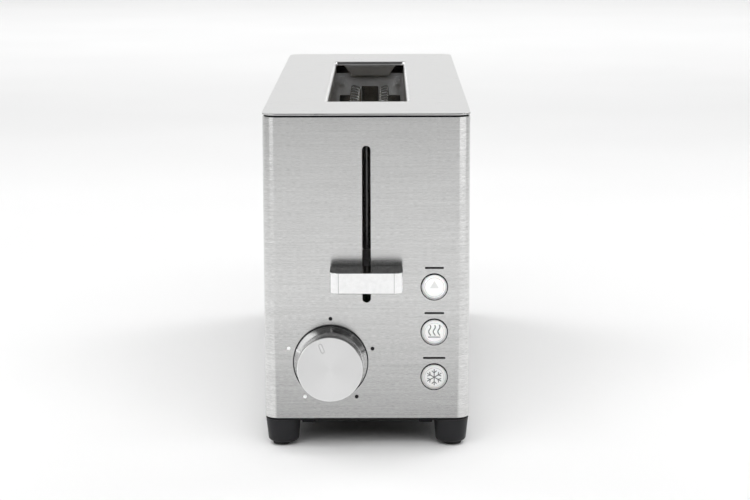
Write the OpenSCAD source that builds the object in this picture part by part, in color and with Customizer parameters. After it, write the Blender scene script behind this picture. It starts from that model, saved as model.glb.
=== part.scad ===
// Long single-slot pop up toaster, in millimetres, +Z up.
// The control panel faces -Y, the bread slot runs along Y and the floor is at Z = 0.
// It is shown with the lever pressed down, so the bread guides are closed.

/* [Body] */
// Width of the steel body
body_w = 120; // [118:1:126]
// Length of the steel body, front panel to rear panel
body_l = 400; // [396:1:410]
// Height of the steel body's lower edge above the floor
steel_z = 17.5; // [17:0.5:20]
// Height of the steel panels
steel_h = 177.1; // [174:0.1:180]
// Outside radius of the body's upright corners
corner_r = 9; // [6:0.5:10]
// Thickness of the steel panels
panel_t = 1; // [0.8:0.1:1.2]
// Thickness of the top plate
top_t = 1.2; // [1:0.1:1.6]

/* [Bread slot] */
// Width of the opening in the top plate
slot_w = 48; // [46:1:50]
// Length of the opening in the top plate
slot_l = 268; // [262:1:270]
// Depth of the bent-down tabs along the opening
tab_h = 9.2; // [6:0.2:9.4]
// Number of guide wires on each side
wire_count = 16; // [10:1:16]

/* [Lever] */
// Width of the lever handle
handle_w = 41.8; // [34:0.2:44]
// Height of the lever handle
handle_h = 12; // [10:0.2:13]
// How far the lever handle stands out from the panel
handle_d = 24; // [20:0.5:28]
// Height of the handle's middle when the lever is down
handle_z = 102.3; // [101:0.1:104]

/* [Browning knob] */
// Radius of the knob at the panel
knob_r = 21.8; // [19:0.1:22]
// Distance of the knob's face from the panel
knob_d = 20; // [18:0.5:23]
// Where the index mark points, anticlockwise from the right
knob_angle = 111; // [-54:1:234]

/* [Buttons] */
// Outside radius of a button's ring
ring_r = 8; // [7.9:0.1:8.4]
// Radius of a button's cap
cap_r = 6.75; // [6:0.05:6.8]
// Height of the lowest button
button_z = 42.3; // [40:0.1:44]
// Distance from one button to the next
button_pitch = 26.7; // [24:0.1:27]

/* [Hidden] */
$fn = 48;

// Play between sliding parts, and the small gap between panels
play = 0.3;
seam = 0.4;

// The body, placed so that its overall box is centred on the origin
grip_d = 8;
front_y = -body_l / 2 + (handle_d - grip_d) / 2;
rear_y = front_y + body_l;
mid_y = (front_y + rear_y) / 2;
half_w = body_w / 2;
in_w = half_w - panel_t;
steel_top = steel_z + steel_h;
plate_z = steel_top + 1;
plate_top = plate_z + top_t;
cover_return = 30;

// The bread slot and the sheet plates at the ends of the bread cavity
slot_y0 = mid_y - slot_l / 2 + 1;
slot_y1 = slot_y0 + slot_l;
tab_t = 1.2;
tab_z = plate_z - tab_h;
tab_relief = 5.5;
tab_taper = 5;
end_t = 1;
end_y0 = slot_y0 - 8;
end_y1 = slot_y1 + 5;
end_top = steel_top - 6.6;
shield_x = 44;
shield_t = 0.6;
track_w = 12;
window_x0 = 13;
window_x1 = 22;
window_z0 = 74;
window_z1 = 172;
lug_x = 20;
lug_z = 182.5;
lug_out = 2.5;
track_z0 = 50.5;
track_z1 = plate_top - 18.2;

// The black base, its legs and their rubber pads
base_t = 1.5;
base_z = steel_z - base_t;
base_inset = 0.3;
rim_h = 2.4;
pad_h = 2.2;
pad_r = 5;
pad_x = half_w - 9.4;
pad_y = front_y + 9.5;
leg_w = 20.2;
leg_l = 22;
leg_taper = 1.5;
leg_inset = 0.4;
leg_x = half_w - leg_inset;
lug_x0 = 30.5;
lug_w = 7.8;
lug_h = 3.1;
base_screw_x = 34.4;

// The crumb tray and its rails
tray_x = 38.3;
tray_t = 0.8;
tray_z = steel_z + 3;
tray_h = 6;
tray_y0 = end_y0 + 7;
rail_t = 1.2;
rail_h = 12;

// The heaters
board_x = 30;
board_t = 1;
board_z0 = 46;
board_z1 = 176;
ribbon_t = 0.3;
ribbon_w = 1.6;
ribbon_pitch = 16;
ribbon_turns = 17;

// The bread guides, which hinge on their lower rods and lean outwards as the lever rises
guide_x = 7;
guide_z = 47;
wire_r = 0.75;
pivot_r = 1.5;
pivot_play = 0.08;
wire_pitch = 17;
wire_bend_z = plate_top - 18.3;
wire_flare = [5.8, 1.8];
wire_tail_z = 150;
wire_y0 = (slot_y0 + slot_y1 - wire_pitch * (wire_count - 1)) / 2;

// The lever, its slot in the panel and the carriage that it carries
lever_travel = 70;
lever_slot_w = 5;
lever_slot_z0 = handle_z - 15.8;
lever_slot_z1 = handle_z + lever_travel + 6;
stem_t = 3;
stem_h = 8;
handle_gap = 0.8;
handle_r = 5;
rod_y = front_y + 34;
rod_r = 2.5;
bush_r = 4;
sleeve_r = 6;
sleeve_h = 20;
arm_t = 2;
arm_y0 = rod_y + 4.5;
arm_y1 = rod_y + 16;
rack_z = 58;
rack_t = 2;
rack_w = 10;
finger_w = 3;
finger_l = 15;
shelf_z = 186;
spring_x = -12;
spring_y = rod_y + 10.5;
spring_r = 3.6;
spring_wire = 0.45;
spring_turns = 22;
spring_steps = 8;

// The magnet that holds the carriage down
magnet_x0 = 12;
magnet_x1 = 30;
magnet_leg = 4;
magnet_y0 = rod_y + 5;
magnet_d = 10;
armature_z = 52;
armature_t = 3;
magnet_z0 = 30;
shelf_t = 1.2;

// The control board behind the panel
pcb_d = 12;
pcb_t = 1.6;
pcb_y = front_y + pcb_d;
posts = [[-42, 35], [-42, 71], [8, 71], [49.5, 56], [30, 108]];
post_r = 2.5;

// The browning knob and its dial marks
knob_x = -21.1;
knob_z = 51.2;
knob_gap = 0.6;
knob_grip_r = knob_r - 2.9;
knob_flare = 6.4;
knob_h = knob_d - knob_gap;
shaft_r = 3;
shaft_play = 0.08;
mark_ring_r = 25.7;
mark_r = 1.05;
mark_hole_r = 1.15;

// The buttons
button_x = 39.3;
ring_h = 0.8;
barrel_r = 7.6;
barrel_l = 6;
cap_proud = 1.4;
button_travel = 1.5;

// The cord outlet
gland_x = 40;
gland_z = 46;
gland_bore_r = 3.6;
gland_r = 6;
gland_flange_r = 8.5;
gland_l = 12;

steel = [0.78, 0.78, 0.77];
galvanised = [0.55, 0.56, 0.57];
black_plastic = [0.09, 0.09, 0.1];
rubber = [0.05, 0.05, 0.05];
white_plastic = [0.93, 0.93, 0.91];
mica = [0.62, 0.52, 0.38];
nichrome = [0.42, 0.4, 0.4];
board_green = [0.1, 0.3, 0.17];
copper = [0.7, 0.4, 0.22];
brass = [0.78, 0.64, 0.32];

// Points on an arc round c, from angle a0 to a1
function arc(c, r, a0, a1, n = 8) =
    [for (i = [0:n]) c + r * [cos(a0 + (a1 - a0) * i / n), sin(a0 + (a1 - a0) * i / n)]];

// Outline of a rectangle with round corners, centred on the origin
function round_box(w, h, r) = concat(
    arc([w / 2 - r, h / 2 - r], r, 0, 90),
    arc([-w / 2 + r, h / 2 - r], r, 90, 180),
    arc([-w / 2 + r, -h / 2 + r], r, 180, 270),
    arc([w / 2 - r, -h / 2 + r], r, 270, 360));

// Extrude an outline drawn in X and Z from y0 to y1
module along_y(y0, y1) {
    translate([0, y1, 0]) rotate([90, 0, 0]) linear_extrude(y1 - y0) children();
}

// Extrude an outline drawn in Y and Z from x0 to x1
module along_x(x0, x1) {
    translate([x0, 0, 0]) rotate([90, 0, 90]) linear_extrude(x1 - x0) children();
}

// Extrude an outline drawn in X and Y from z0 to z1
module along_z(z0, z1) {
    translate([0, 0, z0]) linear_extrude(z1 - z0) children();
}

// A block between two corners
module block(low, high) {
    translate(low) cube(high - low);
}

// Round bars along Y and Z
module bar_y(x, z, y0, y1, r) {
    translate([x, y1, z]) rotate([90, 0, 0]) cylinder(h = y1 - y0, r = r);
}
module bar_z(x, y, z0, z1, r) {
    translate([x, y, z0]) cylinder(h = z1 - z0, r = r);
}

// Put children on the panel's face at x and z, with +Z turned to point out of the panel
module on_panel(x, z) {
    translate([x, front_y, z]) rotate([90, 0, 0]) children();
}

// A pair mirrored to the left and right
module both_sides() {
    children();
    mirror([1, 0, 0]) children();
}

// A wrap-round end cover seen from above, with its closed end at -Y
module cover_outline() {
    r_in = corner_r - panel_t;
    cx = half_w - corner_r;
    polygon(concat(
        [[-half_w, cover_return]],
        arc([-cx, corner_r], corner_r, 180, 270),
        arc([cx, corner_r], corner_r, 270, 360),
        [[half_w, cover_return], [in_w, cover_return]],
        arc([cx, corner_r], r_in, 360, 270),
        arc([-cx, corner_r], r_in, 270, 180),
        [[-in_w, cover_return]]));
}

module front_cover() {
    slot_r = lever_slot_w / 2;
    color(steel) difference() {
        translate([0, front_y, 0]) along_z(steel_z, steel_top) cover_outline();
        along_y(front_y - 1, front_y + panel_t + 1) polygon(concat(
            arc([0, lever_slot_z1 - slot_r], slot_r, 0, 180),
            arc([0, lever_slot_z0 + slot_r], slot_r, 180, 360)));
        bar_y(knob_x, knob_z, front_y - 1, front_y + panel_t + 1, shaft_r + 2);
        for (i = [0:2])
            bar_y(button_x, button_z + i * button_pitch, front_y - 1, front_y + panel_t + 1,
                barrel_r + 0.1);
        for (a = [-54:72:234])
            bar_y(knob_x + mark_ring_r * cos(a), knob_z + mark_ring_r * sin(a),
                front_y - 1, front_y + panel_t + 1, mark_hole_r);
    }
}

module rear_cover() {
    color(steel) difference() {
        translate([0, rear_y, 0]) mirror([0, 1, 0]) along_z(steel_z, steel_top) cover_outline();
        block([-tray_x - 1.2, rear_y - panel_t - 1, tray_z - 0.5],
            [tray_x + 1.2, rear_y + 1, tray_z + tray_h + 2]);
        bar_y(gland_x, gland_z, rear_y - panel_t - 1, rear_y + 1, gland_r + 0.1);
    }
}

module side_panel() {
    block([in_w, front_y + cover_return + seam, steel_z],
        [half_w, rear_y - cover_return - seam, steel_top]);
}
module left_side_panel() {
    color(steel) mirror([1, 0, 0]) side_panel();
}
module right_side_panel() {
    color(steel) side_panel();
}

// Top plate with a tab bent down along each edge of the slot, the corners relieved
module top_plate() {
    y_mid = (slot_y0 + slot_y1) / 2;
    side_top = slot_l / 2 - tab_relief;
    end_half = slot_w / 2 - tab_relief;
    color(steel) union() {
        difference() {
            translate([0, mid_y, 0]) along_z(plate_z, plate_top)
                polygon(round_box(body_w + 0.5, body_l + 0.5, corner_r + 0.25));
            block([-slot_w / 2, slot_y0, plate_z - 1], [slot_w / 2, slot_y1, plate_top + 1]);
        }
        both_sides() along_x(slot_w / 2, slot_w / 2 + tab_t) polygon([
            [y_mid - side_top, plate_z], [y_mid - side_top + tab_taper, tab_z],
            [y_mid + side_top - tab_taper, tab_z], [y_mid + side_top, plate_z]]);
        for (y = [slot_y0 - tab_t, slot_y1])
            along_y(y, y + tab_t) polygon([
                [-end_half, plate_z], [-end_half + tab_taper, tab_z],
                [end_half - tab_taper, tab_z], [end_half, plate_z]]);
    }
}

// Dark moulded frame that carries the top plate and leaves the shadow gap under it
module top_frame() {
    lower = steel_top - 6.6;
    color(black_plastic) difference() {
        translate([0, mid_y, 0]) union() {
            along_z(lower, steel_top - 1)
                polygon(round_box(2 * in_w - 0.4, body_l - 2 * panel_t - 0.4,
                    corner_r - panel_t - 0.2));
            along_z(steel_top - 1, plate_z)
                polygon(round_box(2 * in_w - 4, body_l - 2 * panel_t - 4, corner_r - panel_t - 2));
        }
        block([-half_w + 10, front_y + 10, lower - 1], [half_w - 10, rear_y - 10, plate_z + 1]);
    }
}

// Black floor moulding: a plate, a low rim inside the panels and the lugs beside the legs
module base() {
    w = body_w - 2 * base_inset;
    l = body_l - 2 * base_inset;
    rim_w = 2 * in_w - 0.4;
    rim_l = body_l - 2 * panel_t - 0.4;
    color(black_plastic) difference() {
        union() {
            translate([0, mid_y, 0]) along_z(base_z, steel_z)
                polygon(round_box(w, l, corner_r - base_inset));
            translate([0, mid_y, 0]) along_z(steel_z, steel_z + rim_h) difference() {
                polygon(round_box(rim_w, rim_l, corner_r - panel_t - 0.2));
                polygon(round_box(rim_w - 4, rim_l - 4, corner_r - panel_t - 2.2));
            }
            for (y = [front_y + 7, rear_y - 15])
                both_sides() along_y(y, y + 8) polygon([
                    [lug_x0, base_z], [lug_x0, base_z - lug_h + 1], [lug_x0 + 1, base_z - lug_h],
                    [lug_x0 + lug_w - 1, base_z - lug_h], [lug_x0 + lug_w, base_z - lug_h + 1],
                    [lug_x0 + lug_w, base_z]]);
        }
        for (i = [0:9])
            both_sides() block([46, mid_y - 128 + i * 27, base_z - 1],
                [49, mid_y - 112 + i * 27, steel_z + 1]);
    }
}

// A leg with tapered outer sides and rounded lower edges, at the front right corner
module leg() {
    x0 = leg_x - leg_w;
    x1 = leg_x - leg_taper;
    y0 = front_y + leg_inset;
    y1 = y0 + leg_taper / 2;
    foot = pad_h;
    intersection() {
        translate([leg_x - leg_w / 2, y0 + leg_l / 2, 0]) along_z(foot, base_z)
            polygon(round_box(leg_w, leg_l, corner_r - leg_inset));
        along_y(front_y, y0 + leg_l) polygon([
            [x0, base_z], [x0 + 0.8, foot + 2.2], [x0 + 1.4, foot + 0.8], [x0 + 2.8, foot],
            [x1 - 2, foot], [x1 - 0.6, foot + 0.7], [x1, foot + 2], [leg_x, base_z]]);
        along_x(x0, leg_x) polygon([
            [y0, base_z], [y1, foot + 2], [y1 + 0.6, foot + 0.7], [y1 + 2, foot],
            [y0 + leg_l, foot], [y0 + leg_l, base_z]]);
    }
}
module legs() {
    color(black_plastic) both_sides() {
        leg();
        translate([0, 2 * mid_y, 0]) mirror([0, 1, 0]) leg();
    }
}

module foot_pads() {
    color(rubber) for (y = [pad_y, 2 * mid_y - pad_y])
        both_sides() translate([pad_x, y, 0]) rotate_extrude()
            polygon([[0, 0], [pad_r - 0.6, 0], [pad_r, 0.6], [pad_r, pad_h], [0, pad_h]]);
}

// Cross-head screws under the base
module base_screws() {
    color(galvanised) for (y = [mid_y - 150, mid_y, mid_y + 150])
        both_sides() translate([base_screw_x, y, base_z - 1.6]) difference() {
            rotate_extrude() polygon([[0, 0], [2.4, 0], [3, 0.6], [3, 1.6], [0, 1.6]]);
            block([-1.8, -0.4, -1], [1.8, 0.4, 0.8]);
            block([-0.4, -1.8, -1], [0.4, 1.8, 0.8]);
        }
}

// Grommet in the rear cover that the power cord leaves by
module cord_gland() {
    color(black_plastic) translate([gland_x, rear_y, gland_z]) rotate([90, 0, 0]) rotate_extrude()
        polygon([
            [gland_bore_r, -3], [gland_flange_r - 1, -3], [gland_flange_r, -2], [gland_flange_r, 0],
            [gland_r, 0], [gland_r, panel_t], [gland_r + 1.2, panel_t], [gland_r, gland_l - 3],
            [gland_bore_r, gland_l - 3]]);
}

module crumb_tray() {
    color(galvanised) difference() {
        block([-tray_x, tray_y0, tray_z], [tray_x, rear_y + seam, tray_z + tray_h]);
        block([-tray_x + tray_t, tray_y0 + tray_t, tray_z + tray_t],
            [tray_x - tray_t, rear_y + 1, tray_z + tray_h + 1]);
    }
}

// Face plate of the crumb tray with a finger bar across it
module tray_grip() {
    y = rear_y + seam;
    bar_z0 = tray_z + 3;
    color(black_plastic) union() {
        along_y(y, y + 2) translate([0, tray_z + 4])
            polygon(round_box(2 * tray_x + 5, 13, 2));
        along_x(-16, 16) polygon([
            [y + 2, bar_z0 - 2], [rear_y + grip_d - 1, bar_z0], [rear_y + grip_d, bar_z0 + 1],
            [rear_y + grip_d, bar_z0 + 2], [rear_y + grip_d - 1, bar_z0 + 3], [y + 2, bar_z0 + 3]]);
    }
}

module tray_rails() {
    outer = tray_x + 0.5 + rail_t;
    color(galvanised) both_sides() along_y(tray_y0 - 2, rear_y - panel_t - 3) polygon([
        [tray_x - 5, steel_z], [outer, steel_z], [outer, steel_z + rail_h],
        [outer - rail_t, steel_z + rail_h], [outer - rail_t, tray_z - 0.4],
        [tray_x - 5, tray_z - 0.4]]);
}

// Sheet plate across one end of the bread cavity, with the carriage's track, the guide
// rods' bearings, windows behind the heaters, room for the crumb tray below and two small
// lugs bent towards the cavity
module end_plate(y, inward) {
    lug_y = inward > 0 ? y + end_t : y - lug_out;
    color(galvanised) union() {
        difference() {
            block([-shield_x, y, steel_z], [shield_x, y + end_t, end_top]);
            block([-tray_x - 2.7, y - 1, steel_z - 1], [tray_x + 2.7, y + end_t + 1, steel_z + 14]);
            block([-track_w / 2, y - 1, track_z0], [track_w / 2, y + end_t + 1, track_z1]);
            both_sides() {
                bar_y(guide_x, guide_z, y - 1, y + end_t + 1, pivot_r + pivot_play);
                block([window_x0, y - 1, window_z0], [window_x1, y + end_t + 1, window_z1]);
            }
        }
        both_sides() block([lug_x - 1.5, lug_y, lug_z - 2.5],
            [lug_x + 1.5, lug_y + lug_out, lug_z + 2.5]);
    }
}
module front_end_plate() {
    end_plate(end_y0, 1);
}
module rear_end_plate() {
    end_plate(end_y1, -1);
}

module heat_shield() {
    block([shield_x, end_y0, steel_z + 12], [shield_x + shield_t, end_y1 + end_t, end_top - 1]);
}
module left_heat_shield() {
    color(galvanised) mirror([1, 0, 0]) heat_shield();
}
module right_heat_shield() {
    color(galvanised) heat_shield();
}

module heater_board() {
    block([board_x, end_y0 + end_t, board_z0], [board_x + board_t, end_y1, board_z1]);
}
module left_heater_board() {
    color(mica) mirror([1, 0, 0]) heater_board();
}
module right_heater_board() {
    color(mica) heater_board();
}

// One ribbon that runs up and down across the whole board
module heater_ribbon() {
    y0 = (slot_y0 + slot_y1 - ribbon_pitch * (ribbon_turns - 1)) / 2;
    z0 = board_z0 + 6;
    z1 = board_z1 - 6;
    along_x(board_x - ribbon_t, board_x) union() {
        for (i = [0:ribbon_turns - 1])
            translate([y0 + i * ribbon_pitch, z0]) square([ribbon_w, z1 - z0]);
        for (i = [0:ribbon_turns - 2])
            translate([y0 + i * ribbon_pitch, i % 2 == 0 ? z0 : z1 - ribbon_w])
                square([ribbon_pitch + ribbon_w, ribbon_w]);
    }
}
module left_heater_ribbon() {
    color(nichrome) mirror([1, 0, 0]) heater_ribbon();
}
module right_heater_ribbon() {
    color(nichrome) heater_ribbon();
}

// Row of upright wires on a hinged lower rod. Each wire bends outwards at the top and
// back down to a stiffening rod behind the row.
module bread_guide() {
    flare_len = norm(wire_flare);
    flare_tilt = atan2(wire_flare[0], wire_flare[1]);
    tail_x = guide_x + wire_flare[0];
    top_z = wire_bend_z + wire_flare[1];
    union() {
        bar_y(guide_x, guide_z, end_y0 - 4, end_y1 + end_t + 4, pivot_r);
        for (i = [0:wire_count - 1]) {
            y = wire_y0 + i * wire_pitch;
            bar_z(guide_x, y, guide_z, wire_bend_z, wire_r);
            bar_z(tail_x, y, wire_tail_z, top_z, wire_r);
            translate([tail_x, y, top_z]) sphere(r = wire_r + 0.15);
            translate([guide_x, y, wire_bend_z]) {
                sphere(r = wire_r + 0.15);
                rotate([0, flare_tilt, 0]) cylinder(h = flare_len, r = wire_r);
            }
        }
        bar_y(tail_x, wire_tail_z, wire_y0 - 4, wire_y0 + wire_pitch * (wire_count - 1) + 4,
            wire_r + 0.2);
    }
}
module left_bread_guide() {
    color(steel) mirror([1, 0, 0]) bread_guide();
}
module right_bread_guide() {
    color(steel) bread_guide();
}

// Strip that the bread stands on, with cross fingers that pass between the guide wires
module bread_rack() {
    color(steel) union() {
        block([-rack_w / 2, arm_y1, rack_z], [rack_w / 2, end_y1 + 12, rack_z + rack_t]);
        block([-0.75, arm_y1, rack_z - 6], [0.75, end_y1 + 12, rack_z]);
        for (i = [1:2:wire_count - 3]) {
            y = wire_y0 + (i + 0.5) * wire_pitch;
            block([-finger_l, y - finger_w / 2, rack_z], [finger_l, y + finger_w / 2, rack_z + rack_t]);
        }
    }
}

// Sheet arm and sleeve that slide on the guide rod
module carriage_bracket() {
    sleeve_z0 = handle_z - sleeve_h / 2;
    color(galvanised) difference() {
        union() {
            bar_z(0, rod_y, sleeve_z0, sleeve_z0 + sleeve_h, sleeve_r);
            block([-arm_t / 2, arm_y0, armature_z], [arm_t / 2, arm_y1, sleeve_z0 + sleeve_h]);
            block([spring_x - 4, spring_y - 3.5, rack_z - 2], [0, spring_y + 3.5, rack_z]);
        }
        bar_z(0, rod_y, sleeve_z0 - 1, sleeve_z0 + sleeve_h + 1, bush_r);
    }
}

module carriage_bush() {
    sleeve_z0 = handle_z - sleeve_h / 2;
    color(white_plastic) difference() {
        bar_z(0, rod_y, sleeve_z0, sleeve_z0 + sleeve_h, bush_r - 0.02);
        bar_z(0, rod_y, sleeve_z0 - 1, sleeve_z0 + sleeve_h + 1, rod_r + 0.08);
    }
}

// Flat bar from the sleeve through the slot in the panel
module lever_stem() {
    color(galvanised) difference() {
        block([-stem_t / 2, front_y - handle_gap, handle_z - stem_h / 2],
            [stem_t / 2, rod_y - 4, handle_z + stem_h / 2]);
        bar_z(0, rod_y, handle_z - stem_h, handle_z + stem_h, sleeve_r + 0.02);
    }
}

// Metal handle with rounded front corners
module lever_handle() {
    y0 = front_y - handle_d;
    y1 = front_y - handle_gap;
    x = handle_w / 2;
    color(steel) along_z(handle_z - handle_h / 2, handle_z + handle_h / 2) polygon(concat(
        arc([-x + handle_r, y0 + handle_r], handle_r, 180, 270),
        arc([x - handle_r, y0 + handle_r], handle_r, 270, 360),
        arc([x - 1, y1 - 1], 1, 0, 90, 3),
        arc([-x + 1, y1 - 1], 1, 90, 180, 3)));
}

// Iron plate that the magnet holds, so that the carriage stays down
module latch_armature() {
    color(galvanised) block([arm_t / 2, magnet_y0, armature_z],
        [magnet_x1, magnet_y0 + magnet_d, armature_z + armature_t]);
}

module magnet_core() {
    color(galvanised) difference() {
        block([magnet_x0, magnet_y0, magnet_z0], [magnet_x1, magnet_y0 + magnet_d, armature_z - play]);
        block([magnet_x0 + magnet_leg, magnet_y0 - 1, magnet_z0 + magnet_leg],
            [magnet_x1 - magnet_leg, magnet_y0 + magnet_d + 1, armature_z]);
    }
}

// Winding on a bobbin round one leg of the core
module magnet_coil() {
    m = 0.2;
    z0 = magnet_z0 + magnet_leg + 1;
    z1 = armature_z - 2;
    low = [magnet_x0 - 3, magnet_y0 - 3];
    high = [magnet_x0 + magnet_leg + 3, magnet_y0 + magnet_d + 3];
    color(copper) difference() {
        union() {
            block([low[0], low[1], z0 + 1], [high[0], high[1], z1 - 1]);
            for (z = [z0, z1 - 1])
                block([low[0] - 1, low[1] - 1, z], [high[0] + 1, high[1] + 1, z + 1]);
        }
        block([magnet_x0 - m, magnet_y0 - m, z0 - 1],
            [magnet_x0 + magnet_leg + m, magnet_y0 + magnet_d + m, z1 + 1]);
    }
}

// Bent shelf on the front end plate that carries the magnet
module magnet_shelf() {
    color(galvanised) along_x(magnet_x0 - 2, magnet_x1 + 2) polygon([
        [magnet_y0 - 2, magnet_z0 - shelf_t], [magnet_y0 - 2, magnet_z0],
        [end_y0 - shelf_t, magnet_z0], [end_y0 - shelf_t, magnet_z0 + 14],
        [end_y0, magnet_z0 + 14], [end_y0, magnet_z0 - shelf_t]]);
}

module guide_rod() {
    color(steel) bar_z(0, rod_y, steel_z, shelf_z, rod_r);
}

// Top bracket that holds the guide rod and the spring's upper end
module rod_bracket() {
    color(galvanised) block([-22, rod_y - 6, shelf_z], [22, end_y0, end_top]);
}

// Spring that lifts the carriage, drawn out while the lever is down
module lift_spring() {
    z0 = rack_z + 0.4;
    z1 = shelf_z - 0.4;
    n = spring_turns * spring_steps;
    sides = 5;
    pts = [for (i = [0:n], k = [0:sides - 1])
        let (a = 360 * i / spring_steps, b = 360 * k / sides, r = spring_r + spring_wire * cos(b))
        [spring_x + r * cos(a), spring_y + r * sin(a),
            z0 + spring_wire + (z1 - z0 - 2 * spring_wire) * i / n + spring_wire * sin(b)]];
    walls = [for (i = [0:n - 1], k = [0:sides - 1])
        let (k2 = (k + 1) % sides)
        [i * sides + k, (i + 1) * sides + k, (i + 1) * sides + k2, i * sides + k2]];
    ends = [[for (k = [0:sides - 1]) k], [for (k = [sides - 1:-1:0]) n * sides + k]];
    color(steel) polyhedron(points = pts, faces = concat(walls, ends));
}

// Contact block that the carriage closes when it is down
module mains_switch() {
    color(black_plastic) union() {
        block([-34, end_y0 - 12, 50], [-20, end_y0, 70]);
        for (x = [-32, -24])
            block([x, end_y0 - 12, 70], [x + 2, end_y0 - 11, 78]);
    }
}

module control_board() {
    color(board_green) difference() {
        along_y(pcb_y, pcb_y + pcb_t)
            polygon([[-46, 30], [56, 30], [56, 112], [26, 112], [26, 76], [-46, 76]]);
        for (p = posts)
            bar_y(p[0], p[1], pcb_y - 1, pcb_y + pcb_t + 1, 1.4);
    }
}

module board_posts() {
    color(black_plastic) for (p = posts) difference() {
        bar_y(p[0], p[1], front_y + panel_t, pcb_y, post_r);
        bar_y(p[0], p[1], pcb_y - 7, pcb_y + 1, 1.2);
    }
}

module board_screws() {
    color(galvanised) for (p = posts) {
        bar_y(p[0], p[1], pcb_y - 6, pcb_y + pcb_t, 1.15);
        bar_y(p[0], p[1], pcb_y + pcb_t, pcb_y + pcb_t + 1.5, 2.5);
    }
}

module tact_switches() {
    h = 1.5;
    color(black_plastic) for (i = [0:2])
        translate([button_x, 0, button_z + i * button_pitch])
            block([-3, pcb_y - h, -3], [3, pcb_y, 3]);
}

// Potentiometer with the bearing that the knob's shaft turns in
module browning_control() {
    color(black_plastic) difference() {
        union() {
            block([knob_x - 8, pcb_y - 7, knob_z - 8], [knob_x + 8, pcb_y, knob_z + 8]);
            bar_y(knob_x, knob_z, pcb_y - 9.5, pcb_y - 6, 4.5);
        }
        bar_y(knob_x, knob_z, pcb_y - 10.5, pcb_y - 2, shaft_r + shaft_play);
    }
}

module knob_shaft() {
    color(brass) bar_y(knob_x, knob_z, front_y - knob_d + 4.5, pcb_y - 2.5, shaft_r);
}

// Turned metal knob: hollow behind, a flared skirt, a fine groove, a straight grip and a
// flat face with a cut index mark
module knob() {
    hollow = knob_grip_r - 2;
    flare = knob_flare;
    color(steel) on_panel(knob_x, knob_z) difference() {
        translate([0, 0, knob_gap]) rotate_extrude($fn = 96) polygon([
            [shaft_r + 0.02, 0], [shaft_r + 3, 0], [shaft_r + 3, 7], [hollow, 7], [hollow, 0],
            [knob_r - 0.4, 0], [knob_r, 0.5], [knob_grip_r + 0.2, flare - 0.5],
            [knob_grip_r - 0.4, flare - 0.5], [knob_grip_r - 0.4, flare], [knob_grip_r, flare],
            [knob_grip_r, knob_h - 0.4], [knob_grip_r - 0.4, knob_h], [0, knob_h], [0, knob_h - 4],
            [shaft_r + 0.02, knob_h - 4]]);
        rotate([0, 0, knob_angle]) block([10.6, -0.8, knob_d - 0.6], [15.8, 0.8, knob_d + 1]);
    }
}

// Bright rings that the button caps slide in
module button_rings() {
    bore = cap_r + play;
    color(steel) for (i = [0:2])
        on_panel(button_x, button_z + i * button_pitch) rotate_extrude($fn = 64) polygon([
            [bore, -barrel_l], [barrel_r, -barrel_l], [barrel_r, 0], [ring_r, 0],
            [ring_r, ring_h - 0.3], [ring_r - 0.3, ring_h], [bore + 0.2, ring_h],
            [bore, ring_h - 0.2]]);
}

// Translucent cap with a retaining flange and a stem that reaches for its switch
module button_cap(i) {
    back = -barrel_l - 0.2;
    stem_end = -pcb_d + 1.6 + button_travel;
    color(white_plastic) on_panel(button_x, button_z + i * button_pitch)
        rotate_extrude($fn = 64) polygon([
            [0, stem_end], [2, stem_end], [2, back - 1], [barrel_r + 0.3, back - 1],
            [barrel_r + 0.3, back], [cap_r, back], [cap_r, cap_proud - 0.6],
            [cap_r - 0.6, cap_proud], [0, cap_proud]]);
}
module defrost_button() {
    button_cap(0);
}
module reheat_button() {
    button_cap(1);
}
module cancel_button() {
    button_cap(2);
}

// Dial marks round the knob, from the lowest setting to the highest
module markers(angles, shade) {
    color(shade) for (a = angles)
        bar_y(knob_x + mark_ring_r * cos(a), knob_z + mark_ring_r * sin(a),
            front_y - 0.1, front_y + 5, mark_r);
}
module lit_markers() {
    markers([234, 162], white_plastic);
}
module dark_markers() {
    markers([90, 18, -54], black_plastic);
}

module terminal_block() {
    color(white_plastic) difference() {
        block([46, end_y1 + 12, 28], [56, end_y1 + 30, 42]);
        for (y = [end_y1 + 17, end_y1 + 25])
            bar_z(51, y, 38, 43, 1.8);
    }
}

// Insulated leads from the terminal block to the control board
module mains_wires() {
    color(white_plastic) for (z = [34, 38])
        bar_y(52, z, pcb_y + pcb_t, end_y1 + 12, 1.3);
}

front_cover();
rear_cover();
left_side_panel();
right_side_panel();
top_plate();
top_frame();
base();
legs();
foot_pads();
base_screws();
cord_gland();
crumb_tray();
tray_grip();
tray_rails();
front_end_plate();
rear_end_plate();
left_heat_shield();
right_heat_shield();
left_heater_board();
right_heater_board();
left_heater_ribbon();
right_heater_ribbon();
left_bread_guide();
right_bread_guide();
bread_rack();
carriage_bracket();
carriage_bush();
lever_stem();
lever_handle();
latch_armature();
magnet_core();
magnet_coil();
magnet_shelf();
guide_rod();
rod_bracket();
lift_spring();
mains_switch();
control_board();
board_posts();
board_screws();
tact_switches();
browning_control();
knob_shaft();
knob();
button_rings();
cancel_button();
reheat_button();
defrost_button();
lit_markers();
dark_markers();
terminal_block();
mains_wires();
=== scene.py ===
"""Looks of the long single-slot toaster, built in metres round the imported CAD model."""
import math

import bmesh
import bpy
from mathutils import Matrix, Vector


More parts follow.
